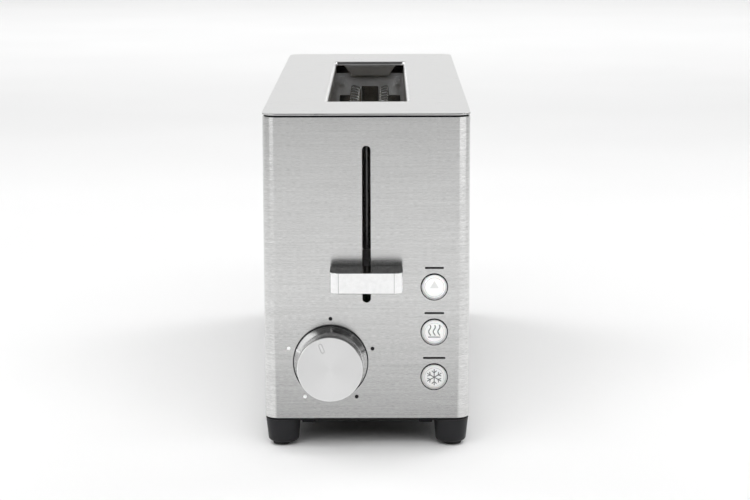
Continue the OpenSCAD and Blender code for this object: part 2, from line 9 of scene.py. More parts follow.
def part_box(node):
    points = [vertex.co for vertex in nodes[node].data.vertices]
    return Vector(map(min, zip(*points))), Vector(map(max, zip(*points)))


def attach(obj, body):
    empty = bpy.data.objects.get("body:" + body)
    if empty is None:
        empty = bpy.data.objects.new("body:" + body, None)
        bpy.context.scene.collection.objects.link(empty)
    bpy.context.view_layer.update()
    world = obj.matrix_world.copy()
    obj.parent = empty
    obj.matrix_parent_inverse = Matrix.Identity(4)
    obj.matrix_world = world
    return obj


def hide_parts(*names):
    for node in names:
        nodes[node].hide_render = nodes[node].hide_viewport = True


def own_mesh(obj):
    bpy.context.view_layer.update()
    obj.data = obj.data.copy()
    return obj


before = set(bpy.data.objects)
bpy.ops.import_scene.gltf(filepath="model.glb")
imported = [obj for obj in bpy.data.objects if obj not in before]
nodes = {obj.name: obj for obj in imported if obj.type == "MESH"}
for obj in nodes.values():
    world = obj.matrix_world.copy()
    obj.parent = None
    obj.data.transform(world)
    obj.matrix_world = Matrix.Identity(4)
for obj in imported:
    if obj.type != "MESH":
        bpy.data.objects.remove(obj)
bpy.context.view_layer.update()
MM = 0.001
ON_AXIS = 1e-7  # a smaller radius is a point on the axis
OUTWARDS = (0, -1, 0)  # out of the control panel


# ---------- places taken from the frame
def middle(name):
    """Centre of a CAD node's box."""
    low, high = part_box(name)
    return (low + high) / 2


COVER_LO, COVER_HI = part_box("front_cover")
PLATE_LO, PLATE_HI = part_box("top_plate")
BASE_LO, BASE_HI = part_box("base")
LEGS_LO, LEGS_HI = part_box("legs")
KNOB_LO, KNOB_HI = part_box("knob")
HALF_W = COVER_HI.x
FRONT = COVER_LO.y
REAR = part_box("rear_cover")[1].y
MID_Y = (FRONT + REAR) / 2
STEEL_Z0 = COVER_LO.z
STEEL_Z1 = COVER_HI.z
PLATE_TOP = PLATE_HI.z
RETURN = COVER_HI.y - COVER_LO.y
PANEL_T = 1.0 * MM
CORNER_R = 9 * MM
EDGE_R = 0.22 * MM

SLOT_HALF_W = 24 * MM
SLOT_HALF_L = 134 * MM
SLOT_Y = MID_Y + 1 * MM

KNOB_X = middle("knob").x
KNOB_Z = middle("knob").z
MARK_RING_R = 25.7 * MM
MARK_ANGLES = (-54, 18, 90, 162, 234)
LIT_ANGLES = (162, 234)
BUTTONS = ("cancel", "reheat", "defrost")


# ---------- mesh helpers
def link(obj):
    bpy.context.scene.collection.objects.link(obj)
    return obj


def from_faces(name, verts, faces):
    """A new object from points and faces, with its normals made consistent."""
    mesh = bpy.data.meshes.new(name)
    bm = bmesh.new()
    made = [bm.verts.new(v) for v in verts]
    for f in faces:
        bm.faces.new([made[i] for i in f])
    bmesh.ops.recalc_face_normals(bm, faces=bm.faces)
    bm.to_mesh(mesh)
    bm.free()
    return link(bpy.data.objects.new(name, mesh))


def mm(points):
    """Points given in millimetres, in metres."""
    return [(a * MM, b * MM) for a, b in points]


def arc(cx, cy, r, start, end, steps):
    """Points on an arc, angles in degrees."""
    turn = [math.radians(start + (end - start) * i / steps) for i in range(steps + 1)]
    return [(cx + r * math.cos(a), cy + r * math.sin(a)) for a in turn]


def circle(cx, cy, r, steps=32):
    return arc(cx, cy, r, 0, 360, steps)[:-1]


def rounded(x0, x1, y0, y1, r, steps=8):
    """Outline of a rectangle with round corners."""
    return (
        arc(x1 - r, y1 - r, r, 0, 90, steps)
        + arc(x0 + r, y1 - r, r, 90, 180, steps)
        + arc(x0 + r, y0 + r, r, 180, 270, steps)
        + arc(x1 - r, y0 + r, r, 270, 360, steps)
    )


def skin(count, n):
    """Faces between successive rings of n points."""
    faces = []
    for k in range(count - 1):
        a, b = k * n, (k + 1) * n
        faces += [(a + i, a + (i + 1) % n, b + (i + 1) % n, b + i) for i in range(n)]
    return faces


def caps(count, n):
    """Faces over the first and the last of such rings."""
    return [tuple(range(n)), tuple(range(count * n - 1, (count - 1) * n - 1, -1))]


# Where an outline's two axes and the direction of its extrusion go in X, Y, Z
AXES = {
    "x": lambda u, v, w: (w, u, v),
    "y": lambda u, v, w: (u, w, v),
    "z": lambda u, v, w: (u, v, w),
}


def prism(name, outline, axis, low, high):
    """An outline extruded along an axis; the outline's own axes follow in X, Y, Z order."""
    put = AXES[axis]
    n = len(outline)
    verts = [put(u, v, low) for u, v in outline] + [put(u, v, high) for u, v in outline]
    return from_faces(name, verts, skin(2, n) + caps(2, n))


def block(name, low, high):
    outline = [(low[0], low[1]), (high[0], low[1]), (high[0], high[1]), (low[0], high[1])]
    return prism(name, outline, "z", low[2], high[2])


def revolve(name, profile, centre, out, steps=64, closed=False):
    """A profile of (radius, distance along out) turned about the axis out through centre."""
    out = Vector(out).normalized()
    side = out.orthogonal().normalized()
    other = out.cross(side)
    verts, rings = [], []
    for r, d in profile:
        base = Vector(centre) + out * d
        if r < ON_AXIS:
            rings.append([len(verts)])
            verts.append(base)
            continue
        rings.append(list(range(len(verts), len(verts) + steps)))
        for i in range(steps):
            a = 2 * math.pi * i / steps
            verts.append(base + side * r * math.cos(a) + other * r * math.sin(a))
    faces = []
    if closed:
        rings.append(rings[0])
    for a, b in zip(rings, rings[1:]):
        for i in range(steps):
            j = (i + 1) % steps
            corners = (a[i % len(a)], b[i % len(b)], b[j % len(b)], a[j % len(a)])
            face = list(dict.fromkeys(corners))
            if len(face) > 2:
                faces.append(face)
    return from_faces(name, verts, faces)


def tube(name, path, r, sides=10):
    """A round bar swept along a path, with closed ends."""
    points = [Vector(p) for p in path]
    verts = []
    normal = (points[1] - points[0]).orthogonal().normalized()
    for i, p in enumerate(points):
        ahead = points[min(i + 1, len(points) - 1)] - points[max(i - 1, 0)]
        ahead.normalize()
        normal = (normal - ahead * normal.dot(ahead)).normalized()
        other = ahead.cross(normal)
        for k in range(sides):
            a = 2 * math.pi * k / sides
            verts.append(p + normal * r * math.cos(a) + other * r * math.sin(a))
    return from_faces(name, verts, skin(len(points), sides) + caps(len(points), sides))


def bake(obj):
    """Apply an object's modifiers to its mesh."""
    bpy.context.view_layer.update()
    graph = bpy.context.evaluated_depsgraph_get()
    old = obj.data
    obj.data = bpy.data.meshes.new_from_object(obj.evaluated_get(graph))
    obj.modifiers.clear()
    bpy.data.meshes.remove(old)
    return obj


def cut(obj, *tools):
    """Take each tool's shape out of an object."""
    for tool in tools:
        mod = obj.modifiers.new("cut", "BOOLEAN")
        mod.operation = "DIFFERENCE"
        mod.solver = "EXACT"
        mod.object = tool
        bake(obj)
        bpy.data.objects.remove(tool)


def join(name, parts):
    """Gather several closed shapes in one object."""
    bm = bmesh.new()
    for part in parts:
        bm.from_mesh(part.data)
        bpy.data.objects.remove(part)
    mesh = bpy.data.meshes.new(name)
    bm.to_mesh(mesh)
    bm.free()
    return link(bpy.data.objects.new(name, mesh))


def smooth(obj, angle=35):
    obj.data.shade_smooth()
    obj.data.set_sharp_from_angle(angle=math.radians(angle))
    return obj


def soften(obj, width, segments=3, angle=35):
    """Round an object's sharp edges and shade it smooth."""
    mod = obj.modifiers.new("edge", "BEVEL")
    mod.width = width
    mod.segments = segments
    mod.limit_method = "ANGLE"
    mod.angle_limit = math.radians(angle)
    mod.miter_outer = "MITER_ARC"
    mod.use_clamp_overlap = True
    bake(obj)
    obj.data.shade_smooth()
    weigh = obj.modifiers.new("normals", "WEIGHTED_NORMAL")
    weigh.keep_sharp = False
    weigh.weight = 100
    return bake(obj)


def paint(obj, material):
    obj.data.materials.clear()
    obj.data.materials.append(material)


def finish_piece(obj, name, body, material, slot, *replaced):
    """Name a piece, give it its finish and hang it on its body."""
    obj.name = name
    obj.data.name = name
    paint(obj, material)
    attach(obj, body)
    if replaced:
        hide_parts(*replaced)


# ---------- material helpers
# Sockets of a Mix node, which has a set of them for each type of data
FACTOR = 0
VALUE_A, VALUE_B, VALUE_OUT = 2, 3, 0
COLOUR_A, COLOUR_B, COLOUR_OUT = 6, 7, 2


class Shader:
    """A Principled material with a few calls for wiring procedural detail into it."""

    def __init__(self, name, colour, roughness, metallic=0.0, **constants):
        self.material = bpy.data.materials.new(name)
        self.material.use_nodes = True
        self.tree = self.material.node_tree
        self.bsdf = self.tree.nodes["Principled BSDF"]
        self.colour = colour
        self.bsdf.inputs["Base Color"].default_value = (*colour, 1)
        self.bsdf.inputs["Roughness"].default_value = roughness
        self.bsdf.inputs["Metallic"].default_value = metallic
        for label, value in constants.items():
            self.bsdf.inputs[label.replace("_", " ")].default_value = value
        self.place = self.node("TexCoord").outputs["Object"]

    def node(self, kind, **settings):
        made = self.tree.nodes.new("ShaderNode" + kind)
        for key, value in settings.items():
            setattr(made, key, value)
        return made

    def wire(self, source, target):
        self.tree.links.new(source, target)

    def noise(self, scale, detail=3, rough=0.55, offset=0.0):
        """Noise stretched by a scale for each axis, in cycles per metre."""
        mapping = self.node("Mapping")
        mapping.inputs["Scale"].default_value = scale
        mapping.inputs["Location"].default_value = (offset, offset, offset)
        texture = self.node("TexNoise")
        texture.inputs["Scale"].default_value = 1
        texture.inputs["Detail"].default_value = detail
        texture.inputs["Roughness"].default_value = rough
        self.wire(self.place, mapping.inputs["Vector"])
        self.wire(mapping.outputs["Vector"], texture.inputs["Vector"])
        return texture.outputs["Fac"]

    def texture(self, kind, scale, **settings):
        """Another texture laid out in object space."""
        made = self.node("Tex" + kind, **settings)
        made.inputs["Scale"].default_value = scale
        self.wire(self.place, made.inputs["Vector"])
        return made

    def blend(self, first, second, share):
        """Mix two factors; share is the second one's part."""
        mix = self.node("Mix", data_type="FLOAT")
        mix.inputs[FACTOR].default_value = share
        self.wire(first, mix.inputs[VALUE_A])
        self.wire(second, mix.inputs[VALUE_B])
        return mix.outputs[VALUE_OUT]

    def span(self, source, low, high, start=0.3, end=0.7):
        """Map a factor onto a range."""
        ramp = self.node("MapRange")
        ramp.inputs["From Min"].default_value = start
        ramp.inputs["From Max"].default_value = end
        ramp.inputs["To Min"].default_value = low
        ramp.inputs["To Max"].default_value = high
        self.wire(source, ramp.inputs["Value"])
        return ramp.outputs["Result"]

    def tint(self, source, dark, light):
        """Vary the base colour between two tones of itself."""
        mix = self.node("Mix", data_type="RGBA")
        mix.inputs[COLOUR_A].default_value = (*[c * dark for c in self.colour], 1)
        mix.inputs[COLOUR_B].default_value = (*[min(1, c * light) for c in self.colour], 1)
        self.wire(self.span(source, 0, 1), mix.inputs[FACTOR])
        self.wire(mix.outputs[COLOUR_OUT], self.bsdf.inputs["Base Color"])

    def roughen(self, source, low, high):
        self.wire(self.span(source, low, high), self.bsdf.inputs["Roughness"])

    def bump(self, source, height, strength=1.0):
        made = self.node("Bump")
        made.inputs["Distance"].default_value = height
        made.inputs["Strength"].default_value = strength
        self.wire(source, made.inputs["Height"])
        self.wire(made.outputs["Normal"], self.bsdf.inputs["Normal"])

    def grain_direction(self, axis):
        """Spread reflections across a grain that runs round an axis."""
        tangent = self.node("Tangent", direction_type="RADIAL", axis=axis)
        self.wire(tangent.outputs["Tangent"], self.bsdf.inputs["Tangent"])

    def axes(self):
        """The X, Y and Z of a place on the object."""
        split = self.node("SeparateXYZ")
        self.wire(self.place, split.inputs[0])
        return split.outputs

    def paint_shade_by_height(self, low, high, dark, flat):
        """Painted shade: deepen the colour towards the bottom within the flat part of a face."""
        place = self.axes()
        rise = self.span(place["Z"], dark, 1.0, low, high)
        aside = self.span(self.maths("ABSOLUTE", place["X"]), 0, 1, flat - 3 * MM, flat + MM)
        self.scale_colour(self.maths("MAXIMUM", rise, aside))

    def scale_colour(self, amount):
        """Multiply the base colour by a factor."""
        socket = self.bsdf.inputs["Base Color"]
        colour = socket.links[0].from_socket
        scale = self.node("VectorMath", operation="SCALE")
        self.wire(colour, scale.inputs[0])
        self.wire(amount, scale.inputs["Scale"])
        self.wire(scale.outputs[0], socket)

    def maths(self, operation, first, second=0.0):
        """One step of arithmetic; each input is a socket or a number."""
        made = self.node("Math", operation=operation)
        for socket, value in zip(made.inputs, (first, second)):
            if isinstance(value, (int, float)):
                socket.default_value = value
            else:
                self.wire(value, socket)
        return made.outputs[0]

    def paint_fan_highlight(self, x, z, strength):
        """Painted highlight: the two bright and two dull sectors of a spun face, lightest above and
        below.
        """
        place = self.axes()
        across = self.maths("SUBTRACT", place["X"], x)
        up = self.maths("SUBTRACT", place["Z"], z)
        turn = self.maths("MULTIPLY", self.maths("ARCTAN2", up, across), 2.0)
        wave = self.maths("MULTIPLY", self.maths("COSINE", turn), -strength)
        self.scale_colour(self.maths("ADD", wave, 1.0))

    def radius(self, x, z):
        """Distance from a line along Y through x and z."""
        flat = self.node("VectorMath", operation="MULTIPLY")
        flat.inputs[1].default_value = (1, 0, 1)
        shift = self.node("VectorMath", operation="SUBTRACT")
        shift.inputs[1].default_value = (x, 0, z)
        size = self.node("VectorMath", operation="LENGTH")
        self.wire(self.place, flat.inputs[0])
        self.wire(flat.outputs[0], shift.inputs[0])
        self.wire(shift.outputs[0], size.inputs[0])
        return size.outputs["Value"]


def brushed_steel(name, colour, roughness, fine, broad, contrast, depth=0.003, sheen=0.035):
    """Brushed sheet: hair-fine grain over soft streaks, both stretched the same way."""
    s = Shader(name, colour, roughness, 1.0, Anisotropic=0.6, Anisotropic_Rotation=0.25)
    grain = s.noise(fine, detail=2, rough=0.6)
    streak = s.noise(broad, detail=2, offset=7.0)
    both = s.blend(grain, streak, 0.3)
    s.tint(both, 1 - contrast, 1 + contrast)
    s.roughen(both, roughness - sheen, roughness + sheen)
    s.bump(grain, depth * MM, 0.4)
    return s


def plated(name, colour, roughness, spots=900, depth=0.004):
    """Smooth metal with faint handling marks."""
    s = Shader(name, colour, roughness, 1.0)
    marks = s.noise((spots,) * 3, detail=4)
    s.tint(marks, 0.94, 1.04)
    s.roughen(marks, max(0.02, roughness - 0.04), roughness + 0.05)
    s.bump(marks, depth * MM, 0.4)
    return s.material


def galvanised_sheet():
    """Zinc-coated sheet with a cloudy spangle and faint stains."""
    s = Shader("galvanised_sheet", (0.40, 0.405, 0.41), 0.42, 0.6)
    cells = s.texture("Voronoi", 160, feature="F1")
    stain = s.noise((35, 35, 35), detail=5)
    both = s.blend(cells.outputs["Color"], stain, 0.5)
    s.tint(both, 0.86, 1.06)
    s.roughen(both, 0.34, 0.52)
    s.bump(stain, 0.02 * MM, 0.3)
    return s.material


def moulded(name, colour, roughness, grain=2600, depth=0.03, **constants):
    """Moulded plastic; its grain is in cycles per metre and its depth in millimetres."""
    s = Shader(name, colour, roughness, 0.0, **constants)
    spark = s.noise((grain,) * 3, detail=2)
    cloud = s.noise((60,) * 3, detail=3, offset=3.0)
    s.tint(cloud, 0.86, 1.14)
    s.roughen(cloud, roughness - 0.05, roughness + 0.06)
    s.bump(spark, depth * MM, 0.35)
    return s.material


def milky_plastic():
    """Clear-coated milky plastic with a faint painted glow, and painted shade that darkens it near the
    bottom of the panel.
    """
    # painted glow: the faint white emission brightens the caps, which hold no lamp
    s = Shader("milky_cap", (0.9, 0.9, 0.895), 0.34, 0.0, Subsurface_Weight=0.25,
               Subsurface_Scale=0.001, Coat_Weight=0.35, Coat_Roughness=0.12,
               Emission_Color=(1, 1, 1, 1), Emission_Strength=0.15)
    cloud = s.noise((60,) * 3, detail=3, offset=3.0)
    s.tint(cloud, 0.97, 1.03)
    # painted shade: the caps grow darker towards the bottom of the panel
    s.paint_shade_by_height(35 * MM, 100 * MM, 0.74, HALF_W)
    s.roughen(cloud, 0.3, 0.4)
    return s.material


def mica_sheet():
    """Pressed mica: flaky, mottled brown and silver."""
    s = Shader("mica_sheet", (0.36, 0.29, 0.19), 0.55, 0.0, Coat_Weight=0.25, Coat_Roughness=0.3)
    flakes = s.texture("Voronoi", 420, feature="F1")
    s.tint(flakes.outputs["Color"], 0.55, 1.3)
    s.bump(flakes.outputs["Distance"], 0.05 * MM, 0.4)
    return s.material


def spun_metal():
    """Turned face: hair-fine rings round the knob's axis, with a painted highlight fan of bright and
    dull sectors.
    """
    s = Shader("spun_metal", (0.70,) * 3, 0.2, 1.0, Anisotropic=0.6, Anisotropic_Rotation=0.25)
    s.grain_direction("Y")
    rings = s.node("TexNoise", noise_dimensions="1D")
    rings.inputs["Scale"].default_value = 4200
    rings.inputs["Detail"].default_value = 3
    s.wire(s.radius(KNOB_X, KNOB_Z), rings.inputs["W"])
    s.tint(rings.outputs["Fac"], 0.96, 1.04)
    # painted highlight: a fan of bright and dull sectors round the knob's centre
    s.paint_fan_highlight(KNOB_X, KNOB_Z, 0.055)
    s.roughen(rings.outputs["Fac"], 0.16, 0.24)
    s.bump(rings.outputs["Fac"], 0.004 * MM, 0.5)
    return s.material


def winding():
    """Enamelled copper wire, wound in fine layers."""
    s = Shader("copper_winding", (0.55, 0.25, 0.11), 0.3, 1.0)
    wave = s.texture("Wave", 900, bands_direction="Z")
    s.tint(wave.outputs["Fac"], 0.6, 1.1)
    s.bump(wave.outputs["Fac"], 0.08 * MM, 0.8)
    return s.material


def board_lacquer():
    """Green circuit board with faint tracks under the lacquer."""
    s = Shader("board_lacquer", (0.03, 0.16, 0.08), 0.35, 0.0, Coat_Weight=0.4, Coat_Roughness=0.15)
    tracks = s.texture("Brick", 120)
    tracks.inputs["Mortar Size"].default_value = 0.06
    s.tint(tracks.outputs["Fac"], 0.8, 1.6)
    s.bump(tracks.outputs["Fac"], 0.03 * MM, 0.4)
    return s.material


def panel_steel():
    """Upright sheet: level grain, with painted shade low down on the flat of the control panel, standing
    in for a darker reflection there.
    """
    s = brushed_steel("brushed_panel", (0.655, 0.655, 0.65), 0.17, (370, 370, 2900), (30, 30, 1200),
                      contrast=0.25)
    s.grain_direction("Z")
    # painted shade: darker towards the bottom of the flat faces, standing in for a darker reflection
    s.paint_shade_by_height(15 * MM, 90 * MM, 0.59, HALF_W - 7 * MM)
    return s.material


def top_steel():
    """Top sheet: even satin with its grain across the toaster."""
    s = brushed_steel("brushed_top", (0.63, 0.63, 0.625), 0.28, (60, 1500, 60), (9, 420, 9),
                      contrast=0.035, depth=0.0002, sheen=0.008)
    s.grain_direction("Y")
    return s.material


PANEL = panel_steel()
TOP = top_steel()
POLISHED = plated("polished_steel", (0.93,) * 3, 0.10, 400, 0.002)
RING_METAL = plated("ring_metal", (0.34,) * 3, 0.2, 700, 0.002)
WIRE = plated("bright_wire", (0.42, 0.42, 0.41), 0.09)
RACK = plated("rack_steel", (0.50, 0.50, 0.49), 0.3)
GALVANISED = galvanised_sheet()
SPUN = spun_metal()
KNOB_METAL = plated("turned_knob", (0.90,) * 3, 0.2, 700, 0.002)
BLACK = moulded("black_plastic", (0.012, 0.012, 0.0135), 0.42, Specular_IOR_Level=0.28)
MATT_BLACK = moulded("matt_black_plastic", (0.009, 0.009, 0.01), 0.5, Specular_IOR_Level=0.12)
RUBBER = moulded("foot_rubber", (0.018,) * 3, 0.75, 1400, 0.06)
MILKY = milky_plastic()
WHITE = moulded("white_plastic", (0.76, 0.76, 0.74), 0.45, 2600, 0.02)
INK = moulded("printed_mark", (0.012, 0.012, 0.013), 0.5, 3000, 0.004, Specular_IOR_Level=0.2)
# grey of the caps' crease: painted shade
CREASE_SHADE = moulded("cap_crease_shade", (0.5,) * 3, 0.4, 3000, 0.004)
GREY_INK = moulded("grey_symbol", (0.17,) * 3, 0.5, 3000, 0.004)
PALE_INK = moulded("pale_symbol", (0.80,) * 3, 0.45, 3000, 0.004)
LIT = moulded("lit_marker", (0.95, 0.95, 0.94), 0.35, 3000, 0.004, Emission_Color=(1, 1, 1, 1),
              Emission_Strength=0.2)
MICA = mica_sheet()
NICHROME = plated("nichrome", (0.24, 0.23, 0.23), 0.45)
BRASS = plated("turned_brass", (0.68, 0.52, 0.26), 0.25)
COPPER = winding()
LACQUER = board_lacquer()


# ---------- body panels
def cover_outline(wall):
    """A wrap-round end cover seen from above; wall is the Y of its closed end."""
    back = 1 if wall < MID_Y else -1
    end = wall + back * RETURN
    cx = HALF_W - CORNER_R
    cy = wall + back * CORNER_R
    inner = CORNER_R - PANEL_T
    first, last = (180, 270) if back > 0 else (180, 90)
    third, fourth = (270, 360) if back > 0 else (90, 0)
    steps = 14
    return (
        [(-HALF_W, end)]
        + arc(-cx, cy, CORNER_R, first, last, steps)
        + arc(cx, cy, CORNER_R, third, fourth, steps)
        + [(HALF_W, end), (HALF_W - PANEL_T, end)]
        + arc(cx, cy, inner, fourth, third, steps)
        + arc(-cx, cy, inner, last, first, steps)
        + [(-HALF_W + PANEL_T, end)]
    )


def through_panel(outline, wall):
    """A cutter that passes through a panel at y = wall."""
    return prism("cutter", outline, "y", wall - 3 * MM, wall + 3 * MM)


def front_cover():
    """Control panel with the lever slot and holes for the shaft, the buttons and the marks."""
    half_w, below, above = 2.5 * MM, 15.8 * MM, 76 * MM
    shaft_r, button_r, mark_r = 5 * MM, 7.7 * MM, 1.15 * MM
    cover = prism("front", cover_outline(FRONT), "z", STEEL_Z0, STEEL_Z1)
    stem = middle("lever_stem")
    low, high = stem.z - below, stem.z + above
    slot = arc(0, high - half_w, half_w, 0, 180, 16) + arc(0, low + half_w, half_w, 180, 360, 16)
    tools = [through_panel(slot, FRONT), through_panel(circle(KNOB_X, KNOB_Z, shaft_r), FRONT)]
    for name in BUTTONS:
        c = middle(name + "_button")
        tools.append(through_panel(circle(c.x, c.z, button_r, 48), FRONT))
    for angle in MARK_ANGLES:
        x, z = mark_place(angle)
        tools.append(through_panel(circle(x, z, mark_r, 24), FRONT))
    cut(cover, *tools)
    soften(cover, EDGE_R, 2)
    finish_piece(cover, "front_panel", "housing", PANEL, "brushed_steel", "front_cover")


def rear_cover():
    """Rear panel with the tray's opening and the cord's outlet."""
    beside, below, above = 1.2 * MM, 0.5 * MM, 2 * MM
    outlet_r = 6.1 * MM
    cover = prism("rear", cover_outline(REAR), "z", STEEL_Z0, STEEL_Z1)
    tray_lo, tray_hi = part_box("crumb_tray")
    gland = middle("cord_gland")
    mouth = rounded(tray_lo.x - beside, tray_hi.x + beside, tray_lo.z - below, tray_hi.z + above,
                    1 * MM, 4)
    cut(cover, through_panel(mouth, REAR),
        through_panel(circle(gland.x, gland.z, outlet_r, 40), REAR))
    soften(cover, EDGE_R, 2)
    finish_piece(cover, "rear_panel", "housing", PANEL, "brushed_steel", "rear_cover")


def side_panels():
    """The two flat sheets between the covers."""
    for name in ("left_side_panel", "right_side_panel"):
        low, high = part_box(name)
        panel = soften(block(name, low, high), EDGE_R, 2)
        finish_piece(panel, name + "_sheet", "housing", PANEL, "brushed_steel", name)


def mark_place(angle):
    """X and Z of a dial mark, its angle in degrees from the right."""
    a = math.radians(angle)
    return KNOB_X + MARK_RING_R * math.cos(a), KNOB_Z + MARK_RING_R * math.sin(a)


# ---------- top plate
def tabbed_outline(half_w, half_l, r, tab_w, tab_l, steps):
    """A rectangle with round corners, and two points on each side where a tab starts and ends."""
    corners = ((1, 1, 0), (-1, 1, 90), (-1, -1, 180), (1, -1, 270))
    sides = (
        [(tab_w, half_l), (-tab_w, half_l)],
        [(-half_w, tab_l), (-half_w, -tab_l)],
        [(-tab_w, -half_l), (tab_w, -half_l)],
        [(half_w, -tab_l), (half_w, tab_l)],
    )
    points = []
    for (sx, sy, start), side in zip(corners, sides):
        points += arc(sx * (half_w - r), sy * (half_l - r), r, start, start + 90, steps)
        points += side
    return points


def slot_ring(offset, drop, steps):
    """Points round the slot, moved outwards by offset and down by drop."""
    relief = 5.5 * MM
    points = tabbed_outline(SLOT_HALF_W + offset, SLOT_HALF_L + offset, 2 * MM + offset,
                            SLOT_HALF_W - relief, SLOT_HALF_L - relief, steps)
    return [(x, SLOT_Y + y, PLATE_TOP - drop) for x, y in points]


def top_plate():
    """Sheet with an outer edge, a rolled rim round the slot and a bent tab on each side."""
    steps, bend_steps = 6, 7
    bend_r, taper, thickness = 3 * MM, 5 * MM, 1.2 * MM
    overhang, end_half_w, side_half_l = 0.25 * MM, 20 * MM, 130 * MM
    outer = tabbed_outline(PLATE_HI.x, (PLATE_HI.y - PLATE_LO.y) / 2, CORNER_R + overhang,
                           end_half_w, side_half_l, steps)
    rings = [[(x, MID_Y + y, PLATE_TOP) for x, y in outer]]
    for i in range(bend_steps + 1):
        a = math.radians(90 * i / bend_steps)
        rings.append(slot_ring(bend_r * (1 - math.sin(a)), bend_r * (1 - math.cos(a)), steps))
    n = len(rings[0])
    verts = [p for ring in rings for p in ring]
    faces = skin(len(rings), n)
    last = (len(rings) - 1) * n
    per_side = n // 4
    for side in range(4):
        i = last + side * per_side + steps + 1
        a, b = Vector(verts[i]), Vector(verts[i + 1])
        along = (b - a).normalized() * taper
        low_a, low_b = a + along, b - along
        low_a.z = low_b.z = PLATE_LO.z
        mid_a, mid_b = a.lerp(low_a, 0.5), b.lerp(low_b, 0.5)
        start = len(verts)
        verts += [mid_a, mid_b, low_a, low_b]
        faces.append((i, i + 1, start + 1, start))
        faces.append((start, start + 1, start + 3, start + 2))
    plate = from_faces("plate", verts, faces)
    top_face = max(plate.data.polygons, key=lambda f: f.area)
    if top_face.normal.z < 0:
        plate.data.flip_normals()
    mod = plate.modifiers.new("sheet", "SOLIDIFY")
    mod.thickness = thickness
    mod.offset = -1
    mod.use_even_offset = True
    bake(plate)
    soften(plate, 0.4 * MM, 3, 50)
    finish_piece(plate, "top_sheet", "housing", TOP, "brushed_steel", "top_plate")


# ---------- base, legs and feet
def vent_cutters(z0, z1):
    """Rows of air slots along both sides of the floor."""
    count, first_y, pitch, length, r = 10, -128, 27, 16 * MM, 1.4 * MM
    inner_x, outer_x = 46, 49
    vents = []
    for i in range(count):
        for sign in (1, -1):
            x0, x1 = sorted((sign * inner_x * MM, sign * outer_x * MM))
            y0 = MID_Y + (first_y + i * pitch) * MM
            vents.append(prism("vent", rounded(x0, x1, y0, y0 + length, r, 4), "z", z0, z1))
    return join("vents", vents)


def base_moulding():
    """Vented floor, a rim that fits inside the steel, and a lug beside each leg."""
    floor_t, rim_t, gap = 1.5 * MM, 2 * MM, 0.2 * MM
    z0 = STEEL_Z0 - floor_t
    outline = rounded(BASE_LO.x, BASE_HI.x, BASE_LO.y, BASE_HI.y, CORNER_R - 0.3 * MM, 12)
    floor = prism("floor", outline, "z", z0, STEEL_Z0)
    cut(floor, vent_cutters(z0 - MM, STEEL_Z0 + MM))
    soften(floor, 0.35 * MM, 2)
    w, l = HALF_W - PANEL_T - gap, (REAR - FRONT) / 2 - PANEL_T - gap
    rim_r = CORNER_R - PANEL_T - gap
    rim = prism("rim", rounded(-w, w, MID_Y - l, MID_Y + l, rim_r), "z",
                STEEL_Z0 - 0.5 * MM, BASE_HI.z)
    inner = rounded(-w + rim_t, w - rim_t, MID_Y - l + rim_t, MID_Y + l - rim_t, rim_r - rim_t)
    cut(rim, prism("inner", inner, "z", STEEL_Z0 - MM, BASE_HI.z + MM))
    parts = [floor, rim]
    lug_x, lug_end, lug_l = (30.5 * MM, 38.3 * MM), 7 * MM, 8 * MM
    for y in (FRONT + lug_end, REAR - lug_end - lug_l):
        for sign in (1, -1):
            x0, x1 = sorted((sign * lug_x[0], sign * lug_x[1]))
            lug = block("lug", (x0, y, BASE_LO.z), (x1, y + lug_l, z0 + 0.3 * MM))
            parts.append(soften(lug, 0.9 * MM))
    finish_piece(join("base", parts), "base_moulding", "housing", MATT_BLACK, "black_plastic",
                 "base")


def leg(sign, front):
    """One leg, rounded in plan: it narrows towards the floor and its lower edge is rolled."""
    w, l = 20.2 * MM, 22 * MM
    taper, inner_taper, roll = 1.5 * MM, 1.0 * MM, 1.8 * MM
    out = LEGS_HI.x
    wall = LEGS_LO.y if front else LEGS_HI.y
    back = 1 if front else -1
    height = LEGS_HI.z - LEGS_LO.z
    levels = [(t, 0.0) for t in (0, 0.25, 0.5, 0.75)]
    levels += [(1 - roll / height * (1 - math.sin(a)), roll * (1 - math.cos(a)))
               for a in [math.radians(15 * k) for k in range(7)]]
    verts = []
    for t, inset in levels:
        z = LEGS_HI.z - height * t
        x0, x1 = out - w + inner_taper * t + inset, out - taper * t - inset
        y0, y1 = sorted((wall + back * (taper / 2 * t + inset), wall + back * (l - inset)))
        ring = rounded(x0, x1, y0, y1, CORNER_R - 0.4 * MM - inset)
        verts += [(sign * x, y, z) for x, y in ring]
    count, n = len(levels), len(ring)
    return smooth(from_faces("leg", verts, caps(count, n) + skin(count, n)), 40)


def legs():
    parts = [leg(sign, front) for sign in (1, -1) for front in (True, False)]
    finish_piece(join("legs", parts), "leg_set", "housing", BLACK, "black_plastic", "legs")


def foot_pads():
    """Round rubber pads under the legs."""
    low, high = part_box("foot_pads")
    r, h = 5 * MM, high.z - low.z
    profile = [(0, 0), (r - MM, 0), (r - 0.4 * MM, 0.15 * MM), (r - 0.1 * MM, 0.5 * MM), (r, MM),
               (r, h), (0, h)]
    parts = []
    for x in (low.x + r, high.x - r):
        for y in (low.y + r, high.y - r):
            parts.append(smooth(revolve("pad", profile, (x, y, low.z), (0, 0, 1), 40), 50))
    finish_piece(join("pads", parts), "foot_pad_set", "housing", RUBBER, "rubber", "foot_pads")


